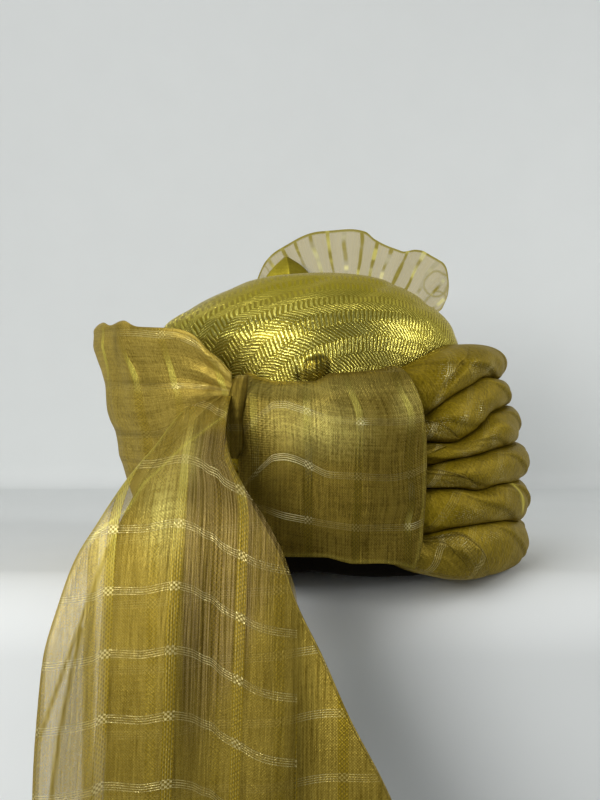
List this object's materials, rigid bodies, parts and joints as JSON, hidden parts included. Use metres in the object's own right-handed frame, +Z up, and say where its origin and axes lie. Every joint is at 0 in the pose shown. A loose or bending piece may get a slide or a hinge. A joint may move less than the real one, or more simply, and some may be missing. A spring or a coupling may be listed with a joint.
{
  "type": "turban",
  "caption": "Ready-wound turban with a domed brocade cap, wound rolls, a flat back band, a flared side wing, a folded hanging tail and a fan crest.",
  "frame": {"origin": "middle of the head opening, on the level of the rim", "axes": "+Z up through the crown, -Y towards the wearer's face, +Y towards the nape, +X towards the wearer's left"},
  "size_m": [0.2623, 0.3694, 0.3097],
  "materials": {
    "brocade": "shiny herringbone brocade",
    "head_band": "matt dark cloth",
    "roll_cloth": "sheer checked cloth over a dull gold core",
    "tissue": "checked tissue with metallic threads",
    "sheer": "sheer tissue in folded layers",
    "crest_sheer": "sheer striped tissue"
  },
  "bodies": {
    "root": {"crown_cap": "brocade", "rim_band": "head_band", "roll_1": "roll_cloth", "roll_2": "roll_cloth", "roll_3": "roll_cloth", "roll_4": "roll_cloth", "roll_5": "roll_cloth", "roll_6": "roll_cloth", "pleat_upper": "tissue", "pleat_middle": "tissue", "pleat_lower": "tissue", "foot_wrap_long": "tissue", "foot_wrap_short": "tissue", "back_band": "tissue", "band_pleat": "tissue", "side_wing": "tissue", "tail": "sheer", "fan_crest": "crest_sheer", "crest_fold": "tissue"}
  },
  "joints": []
}
